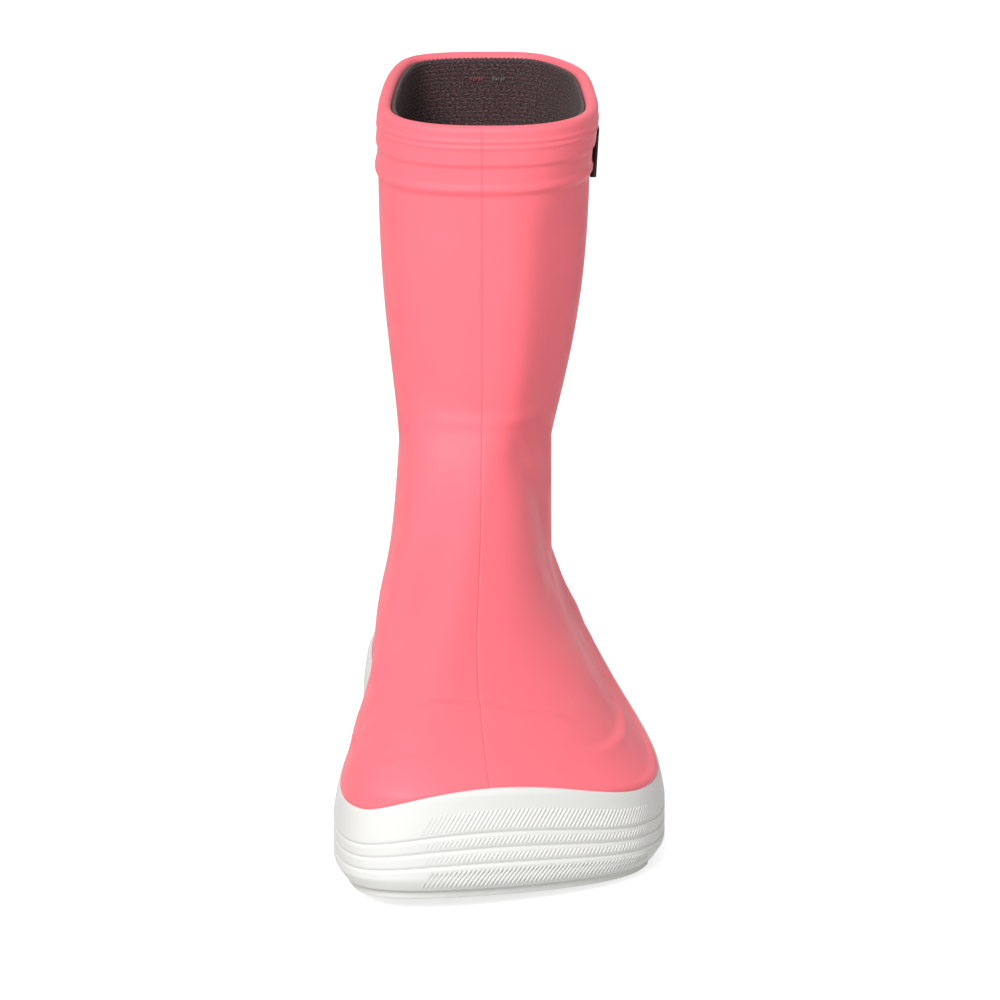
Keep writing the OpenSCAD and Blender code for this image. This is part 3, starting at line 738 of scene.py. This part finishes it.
# %% Slanted ribs
HATCH_PITCH, HATCH_SLANT = 1.3, math.radians(34)
HATCH_FROM, HATCH_TO, FADE_IN, FADE_OUT = 182, 226, 8, 5
HATCH_W, HATCH_RISE = 0.8, 0.33
HATCH_BANDS = ((3.6, 8.8), (11.0, 13.2), (15.4, 17.6), (19.8, 25.4))
spots, runs, faces, fits = [], [], [], []
for low, high in HATCH_BANDS:
    middle = (low + high) / 2
    arc = np.linspace(HATCH_FROM, HATCH_TO, 400)
    run = way_along(on_sidewall(arc, middle))
    at = np.interp(np.arange(HATCH_PITCH / 2, run[-1], HATCH_PITCH), run, arc)
    rise = on_sidewall(at, high) - on_sidewall(at, low)
    tall = np.linalg.norm(rise, axis=1)
    rise = unit(rise)
    ahead = unit(on_sidewall(at + NUDGE, middle) - on_sidewall(at - NUDGE, middle))
    fade = step(at, HATCH_FROM, HATCH_FROM + FADE_IN) * (1 - step(at, HATCH_TO - FADE_OUT, HATCH_TO))
    spots.append(on_sidewall(at, middle))
    runs.append(math.cos(HATCH_SLANT) * rise + math.sin(HATCH_SLANT) * ahead)
    faces.append(np.cross(ahead, rise))
    fits.append(np.stack([fade, mix(0.7, 1, fade), tall / math.cos(HATCH_SLANT)], -1))
spots, runs, faces, fits = (np.concatenate(v) for v in (spots, runs, faces, fits))
bars("toe_hatch", spots, runs, faces, fits, 1.0, HATCH_W, HATCH_RISE, white_rubber, "sole_rubber")

# %% [markdown]
# ## The tread
# The tread is a plate with slanted bars on both sides of a channel, and a lug along the edge at toe and
# heel. Five lines run from the channel to the plate's edge and give a bar its end, so no two bars are alike.
# Where a lug is in the way, the lines stop at a narrower outline.

# %% Outlines of the tread
BAR_L, CHANNEL_W, BAR_ROWS, SHORTEST_BAR = 8.0, 5.0, 16, 7.0
BAR_LINES = (-0.5, -0.25, 0.0, 0.25, 0.5)
BAR_SLANT = math.tan(math.radians(12))
TREAD_SET, BAR_SET, BAR_EDGE = 1.2, 1.6, 0.6
LUG_W, LUG_GAP, LUG_SET = 7.0, 2.0, 0.9
LUG_BACK = BAR_SET + LUG_W
TOE_LUG, HEEL_LUG = (142.5, 232.5), (-45.0, 45.0)
tread_turn = DENSE[:-1:4]
WIDE = layer(tread_turn, 0.0, BAR_SET)[:, :2] + MIDDLE
NARROW = layer(tread_turn, 0.0, LUG_BACK + LUG_GAP)[:, :2] + MIDDLE


def reach(start, run, outline):
    """Where a line from the channel meets an outline of the tread."""
    off = (outline - start) @ np.array([-run[1], run[0]])
    for i in range(len(outline)):
        j = (i + 1) % len(outline)
        if (off[i] >= 0) != (off[j] >= 0):
            spot = mix(outline[i], outline[j], off[i] / (off[i] - off[j]))
            if (spot - start) @ run > 0:
                return spot
    return start


def lug_end(turn):
    """Where the outer and the inner corner of a lug's end lie along the boot."""
    return layer(turn, 0.0, np.array([LUG_SET, LUG_BACK]))[:, 1] + MIDDLE[1]


print("the tread is", np.round(np.ptp(WIDE, axis=0), 1), "mm over its bars")

# %% One bar of the tread
def tread_bar(y, side):
    """A slanted bar's outline, from the channel to the edge or to a lug, and its shortest length."""
    run = np.array([side, BAR_SLANT])
    starts = [np.array([side * CHANNEL_W / 2, y + t * BAR_L]) for t in BAR_LINES]
    ends = np.array([reach(start, run, WIDE) for start in starts])
    toe_turn, heel_turn = (TOE_LUG[1], HEEL_LUG[0]) if side > 0 else (TOE_LUG[0], HEEL_LUG[1])
    meets_toe = ends[:, 1].min() < lug_end(toe_turn).max() + LUG_GAP
    meets_heel = ends[:, 1].max() > lug_end(heel_turn).min() - LUG_GAP
    if meets_toe or meets_heel:
        ends = np.array([reach(start, run, NARROW) for start in starts])
    shape = np.array([starts[0], *ends, starts[-1]])
    return shape if side > 0 else shape[::-1], np.linalg.norm(ends - starts, axis=1).min()


def shrunk(polygon, distance):
    ahead = np.roll(polygon, -1, axis=0) - polygon
    inward = unit(np.stack([-ahead[:, 1], ahead[:, 0]], -1))
    other = np.roll(inward, 1, axis=0)
    share = 1 + (inward * other).sum(1, keepdims=True)
    return polygon + distance * (inward + other) / share


def tread_level(polygon, z):
    return np.concatenate([polygon - MIDDLE, (z + toe_lift(polygon[:, 1]))[:, None]], -1)


print("a bar at the middle is", round(tread_bar(-FOOT_L / 2, 1)[1], 1), "mm long")

# %% Bars, lugs and plate
PLATE_BEVEL = 0.5
BAR_TOP = PLATE_Z + PLATE_BEVEL
ROUNDED = 0.3 * BAR_EDGE
# Distance in from the edge, and height.
BAR_SECTION = ((BAR_EDGE, 0.0), (ROUNDED, ROUNDED), (0.0, BAR_EDGE), (0.0, BAR_TOP))
LUG_SECTION = ((BAR_SET, BAR_TOP), (BAR_SET, TREAD_H - 0.1), (LUG_SET, TREAD_H - 0.2), (LUG_SET, BAR_EDGE),
               (LUG_SET + ROUNDED, ROUNDED), (LUG_SET + BAR_EDGE, 0.0), (LUG_BACK - BAR_EDGE, 0.0),
               (LUG_BACK - ROUNDED, ROUNDED), (LUG_BACK, BAR_EDGE), (LUG_BACK, BAR_TOP))
PLATE_SECTION = ((PLATE_BEVEL, 0.0), (0.0, PLATE_BEVEL), (0.0, PLATE_T))
LUG_COLUMNS, SHARP_EDGE = 91, math.radians(30)
bar_skins = []
for i in range(1, BAR_ROWS - 1):
    for side in (-1, 1):
        shape, length = tread_bar(-(i + 0.5) * FOOT_L / BAR_ROWS, side)
        if length >= SHORTEST_BAR:
            bar_skins.append(skin(np.stack([tread_level(shrunk(shape, d), z) for d, z in BAR_SECTION])))
for start, end in (TOE_LUG, HEEL_LUG):
    across = np.linspace(start, end, LUG_COLUMNS)
    bar_skins.append(skin(np.stack([layer(across, z, d) for d, z in LUG_SECTION], 1)))
plate = [layer(sole_turn, PLATE_Z + up, TREAD_SET + d) for d, up in PLATE_SECTION]
tread_mesh = make_mesh("cleated_tread", skin(np.stack(plate)), *bar_skins)
tread_mesh.set_sharp_from_angle(angle=SHARP_EDGE)
piece(tread_mesh, tread_rubber, "tread_rubber", "outsole_tread")
print("bars and lugs on the tread:", len(bar_skins))

# %% [markdown]
# ## The knitted lining
# The lining is two tubes of knit, glued to the rubber and joined at the ankle. A knit that is glued to a
# wall has no folds of its own, so its form is the wall's, set in by the rubber's thickness. Its courses are
# real ridges where the eye can reach them, and the map of the cloth starts at the heel, so that the place
# where the map's two ends meet lies at the front, out of sight.

# %% The two tubes
LINING_OUT = WALL + GLUE
LINING_IN = LINING_OUT + LINING_T
LINING_TOP = BOOT_H - 1.4
SEAM_LEVEL, SEAM_H = ANKLE_H + 5.0, 1.2
LINING_Z = SEAT_Z + FLOOR_T + BOARD_T + 2 * GLUE
COURSE_OUT, FOLD = 0.1, 0.25
EVEN_HALF = np.linspace(0, 1, 121)


def lining_tube(name, bottom, top, seen):
    """A tube of knit with courses as ridges on the part that is seen, and the tube's girth."""
    inside = np.concatenate([spaced(top - FOLD, top - seen, COURSE_MM / 4), spaced(top - seen, bottom, 1.8),
                             [bottom + FOLD]])
    courses = LINING_IN - COURSE_OUT / 2 + COURSE_OUT * np.sin(2 * math.pi * inside / COURSE_MM)
    outside = np.concatenate([spaced(bottom, top, 4.0), [top]])
    heights = np.concatenate([outside, [top], inside, [bottom]])
    fold = [LINING_IN - FOLD]
    insets = np.concatenate([np.full(len(outside), LINING_OUT), fold, courses, fold])
    rows, _, _, from_heel = even_rows(heights, insets, EVEN_HALF)
    cloth = np.stack([from_heel, heights[:, None] + np.zeros_like(from_heel)], -1).reshape(-1, 2)
    around = np.abs(from_heel).max(1).mean() * 2
    return make_mesh(name, skin(rows, looped=True), cloth=cloth), around


def half_area(mesh):
    """The area of one face of a cloth."""
    return sum(face.area for face in mesh.polygons) / 2


leg_mesh, leg_around = lining_tube("knit_leg_lining", SEAM_LEVEL + SEAM_H / 2, LINING_TOP - 0.5, seen=64)
leg_cloth = piece(leg_mesh, lining_knit, "lining_knit", "leg_lining")
foot_mesh, foot_around = lining_tube("knit_foot_lining", LINING_Z, SEAM_LEVEL - SEAM_H / 2, seen=12)
foot_cloth = piece(foot_mesh, lining_knit, "lining_knit", "foot_lining")
print("cloth in square metres:", round(half_area(leg_mesh), 4), round(half_area(foot_mesh), 4))

# %% [markdown]
# The tube's top edge is overlocked: thread wraps over the raw edge, again and again. A cord of yarn lies
# inside the wraps. The seam at the ankle is made in the same way, but flat.

# %% Overlocked edge and ankle seam
WRAP_PITCH, WRAP_LEAN, WRAP_DROP = 1.3, 0.35, 0.2
WRAP_W, WRAP_RISE = 0.75, 0.36
RING_SIDES = 12


def wrapped_ring(name, node, z, inset, radius, flat, wrap_length):
    """A ring of yarn round the leg with thread wrapped round it on the top and on the inner face."""
    around = np.linspace(0, 2 * math.pi, RING_SIDES, endpoint=False)
    heights, insets = z - radius * np.cos(around), inset - flat * np.sin(around)
    rows = even_rows(heights, insets, EVEN_HALF)[0]
    piece(make_mesh(name, skin(rows, looped=True)), dark_thread, "binding_thread", node)
    run = way_along(layer(DENSE, z, inset))
    count = round(run[-1] / WRAP_PITCH)
    at = np.interp((np.arange(count) + 0.5) * run[-1] / count, run, DENSE)
    ahead = unit(layer(at + NUDGE, z, inset) - layer(at - NUDGE, z, inset))
    inward = np.stack([-ahead[:, 1], ahead[:, 0], np.zeros(count)], -1)
    up = np.array([0.0, 0.0, 1.0]) * np.ones((count, 1))
    spots = np.concatenate([layer(at, z + radius, inset), layer(at, z - WRAP_DROP, inset + flat)])
    runs = np.concatenate([inward + WRAP_LEAN * ahead, up - WRAP_LEAN * ahead])
    faces = np.concatenate([up, inward])
    bars(name + "_wraps", spots, runs, faces, 1.0, wrap_length, WRAP_W, WRAP_RISE, dark_thread,
         "binding_thread")


wrapped_ring("overlock_edge", "lining_binding", LINING_TOP - 0.25, WALL + 0.7,
             radius=0.32, flat=0.35, wrap_length=1.2)
wrapped_ring("ankle_seam", "lining_seam", SEAM_LEVEL, WALL + 0.8, radius=0.5, flat=0.6, wrap_length=1.6)

# %% [markdown]
# Two bar tacks hold the lining at the back. A bar tack is a dense row of stitches, here one in dull red and
# one in grey thread.

# %% Bar tacks
TACK_DROP, TACK_W, TACK_REACH = 7.4, 3.0, 3.25
TACK_STITCHES, STITCH_STEP, STITCH_LEAN = 5, 0.15, 0.25
STITCH_L, STITCH_W, STITCH_RISE = 1.2, 0.6, 0.4


def bar_tack(name, side, material, *nodes):
    """A row of leaning stitches at the back of the lining, to one side of its middle."""
    back = layer(0.0, BOOT_H - TACK_DROP, LINING_IN + FOLD)
    across = np.linspace(-TACK_W / 2, TACK_W / 2, TACK_STITCHES) + side * TACK_REACH
    up = STITCH_STEP * (-1.0) ** np.arange(TACK_STITCHES)
    spots = back + np.stack([across, np.zeros(TACK_STITCHES), up], -1)
    runs, forward = np.array([STITCH_LEAN, 0.0, 1.0]), np.array([0.0, -1.0, 0.0])
    bars(name, spots, runs, forward, 1.0, STITCH_L, STITCH_W, STITCH_RISE, material, "tack_thread", *nodes)


bar_tack("red_bar_tack", -1, red_thread, "lining_tacks")
bar_tack("grey_bar_tack", 1, grey_thread)

# %% [markdown]
# ## The footbed
# A loose footbed lies on the board: foam, cupped at the heel, with a cloth cover. The cover is cut to the
# same outline, so both are lofted from the lining's inner outline, with rings that step in over the cup.

# %% Foam and cover
BED_SET, BED_CUP, CUP_EDGE, CUP_SPREAD = LINING_IN + 0.5, 2.5, 7.0, 100
BED_T, COVER_T = 5.0, 0.8
BED_Z = SEAT_Z + FLOOR_T + BOARD_T + 1.5 * GLUE
COVER_Z = BED_Z + BED_T + GLUE / 2
# Heights over the foam's underside and distances in from its edge.
FOAM_EDGE = ((0.0, 0.7), (0.2, 0.2), (0.7, 0.0), (4.0, 0.0))
INWARD = (0.15, 0.35, 0.6, 0.85)
bed_turn = sole_turn[::2]


def cupped(z, share):
    """A row on the cupped edge, from its outside at 0 to its inside at 1."""
    cup = BED_CUP * bump(bed_turn, 0, CUP_SPREAD) * (1 - ease(share))
    return layer(bed_turn, z + cup, BED_SET + CUP_EDGE * share)


def towards_middle(row, shares):
    return [mix(row, row.mean(0), share) for share in shares]


foam_rows = [layer(bed_turn, BED_Z + up, BED_SET + d) for up, d in FOAM_EDGE]
foam_rows += [cupped(BED_Z + BED_T, t) for t in np.linspace(0, 1, 7)]
foam_rows += towards_middle(foam_rows[-1], INWARD)
foam_mesh = make_mesh("footbed_foam_slab", skin(np.stack(foam_rows)))
foam = piece(foam_mesh, open_foam, "footbed_foam", "footbed_foam")
under = [cupped(COVER_Z, t) for t in np.linspace(1, 0, 7)]
over = [cupped(COVER_Z + COVER_T, t) for t in np.linspace(0.03, 1, 9)]
cover_rows = towards_middle(under[0], INWARD[::-1]) + under + [cupped(COVER_Z + 0.5, 0.0)] + over
cover_rows += towards_middle(over[-1], INWARD)
cover_skin = skin(np.stack(cover_rows))
cover_mesh = make_mesh("footbed_cloth_cover", cover_skin, cloth=cover_skin[0][:, :2].copy())
cover = piece(cover_mesh, footbed_cloth, "footbed_cloth", "footbed_cover")
print("cover's cloth:", round(half_area(cover_mesh), 4), "square metres")

# %% [markdown]
# ## The label
# A small black rubber label is moulded on the outer side, over the band and the rib. Its face is straight
# and its back follows the relief. It is built from rounded rectangles: rings that grow over the back, step
# round the edge and close over the face. The face is left bare.

# %% The label's skin
LABEL_W, LABEL_H, LABEL_DROP, LABEL_FORWARD = 26.0, 14.6, 8.0, 4.0
LABEL_T, LABEL_CORNER, LABEL_EDGE = 0.7, 2.2, 0.4
LABEL_Z = BOOT_H - LABEL_DROP - LABEL_H / 2
FACE_OUT = BAND_OUT + GLUE + LABEL_T


def rounded_rectangle(half_w, half_h, corner):
    turn = np.radians(np.arange(0, 360, 3.0) + 1.5)
    c, s = np.cos(turn), np.sin(turn)
    return np.sign(c) * (half_w - corner) + corner * c, np.sign(s) * (half_h - corner) + corner * s


def label_row(shrink, share, out):
    """A rounded rectangle on the leg, some way out, or close over the relief where out is None."""
    back, up = rounded_rectangle(LABEL_W / 2 - shrink, LABEL_H / 2 - shrink, LABEL_CORNER - shrink)
    forward, z = LABEL_FORWARD - back * share, LABEL_Z + up * share
    at = 270 - np.degrees(np.arcsin(signed_power(2 * forward / LEG_D, OVAL / 2)))
    return layer(at, z, -(collar_out(BOOT_H - z) + GLUE if out is None else out))


label_rows = [label_row(0, share, None) for share in (0.15, 0.4, 0.62, 0.8, 0.92, 1)]
label_rows += [label_row(LABEL_EDGE * (1 - math.cos(t)), 1, FACE_OUT - LABEL_EDGE * (1 - math.sin(t)))
               for t in np.linspace(0, math.pi / 2, 6)]
label_rows += [label_row(LABEL_EDGE, share, FACE_OUT) for share in (0.95, 0.8, 0.6, 0.4, 0.15)]
label_mesh = make_mesh("bare_side_label", skin(np.stack(label_rows)))
piece(label_mesh, black_rubber, "label_rubber", "side_label")

# %% [markdown]
# ## Cloth and padding
# The two linings are stretched on the wall and the cover lies on its foam.

# %% [markdown]
# ## Floor, light and camera
# The boot stands on a white floor in soft studio light. The large lamp is at the left of the camera, so
# the outer side falls into soft shade, and a weak one hangs overhead. The floor and the world look white to
# the camera by their own colour, so the lamps can stay at a plain level.

# %% Floor
FLOOR_HALF, FLOOR_Z, FLOOR_GLOW = 6.0, -0.0002, 0.74


def seen_directly(tree):
    """One for what the camera sees, also in reflections and through glass, and nought for the rest."""
    path = add(tree, "ShaderNodeLightPath").outputs
    straight = calculate(tree, "MAXIMUM", path["Is Camera Ray"], path["Is Glossy Ray"])
    return calculate(tree, "MAXIMUM", straight, path["Is Transmission Ray"])


def white_floor():
    material, tree, shader = new_material("white paper floor")
    glow = add(tree, "ShaderNodeEmission", {"Color": linear("#FFFFFF"), "Strength": FLOOR_GLOW})
    give(tree, shader, {"Base Color": linear("#D4D4D4"), "Roughness": 0.9})
    plain = shader.outputs[0]
    both = add(tree, "ShaderNodeAddShader", {0: plain, 1: glow.outputs[0]}).outputs[0]
    mixed = add(tree, "ShaderNodeMixShader", {0: seen_directly(tree), 1: plain, 2: both}).outputs[0]
    give(tree, tree.nodes["Material Output"], {"Surface": mixed})
    return material


floor_mesh = bpy.data.meshes.new("floor")
corners = [(x * FLOOR_HALF, y * FLOOR_HALF, FLOOR_Z) for x, y in ((-1, -1), (1, -1), (1, 1), (-1, 1))]
floor_mesh.from_pydata(corners, [], [(0, 1, 2, 3)])
floor_mesh.materials.append(white_floor())
floor = new_object("floor", floor_mesh)
floor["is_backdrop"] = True
print("floor:", 2 * FLOOR_HALF, "metres wide")

# %% World
WORLD_LIGHT = 0.33
world = bpy.data.worlds.new("studio")
world.use_nodes = True
bpy.context.scene.world = world
tree = world.node_tree
strength = spread(tree, seen_directly(tree), 0.0, 1.0, WORLD_LIGHT, 1.0)
give(tree, tree.nodes["Background"], {"Color": linear("#FFFFFF"), "Strength": strength})
print("world light:", WORLD_LIGHT)

# %% Lamps
AIM = Vector((-0.0038, 0.0053, 0.095))


def aim(made, place):
    made.location = place
    made.rotation_euler = (AIM - made.location).to_track_quat("-Z", "Y").to_euler()


def lamp(name, place, size, watts):
    light = bpy.data.lights.new(name, "AREA")
    light.shape, light.size, light.energy = "DISK", size, watts
    aim(new_object(name, light), place)
    print(name, watts, "watts")


lamp("large lamp at the left of the camera", Vector((-0.642, -1.764, 1.575)), size=1.2, watts=54.0)
lamp("weak lamp overhead", Vector((0.1, 0.1, 1.9)), size=0.9, watts=2.0)

# %% Camera
# The photograph was taken from the front and a little above, with a long lens from about two metres.
camera_data = bpy.data.cameras.new("camera")
camera_data.sensor_fit, camera_data.sensor_width, camera_data.lens = "HORIZONTAL", 36.0, 264.9
camera_data.shift_x, camera_data.shift_y = 0.014, -0.02925
camera = new_object("camera", camera_data)
aim(camera, (-0.0038, -1.9947, 0.668))
bpy.context.scene.camera = camera
bpy.context.scene.view_settings.view_transform = "Standard"
print("camera lens:", round(camera_data.lens, 1), "mm")

# %% Bounds of everything shown
low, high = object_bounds()
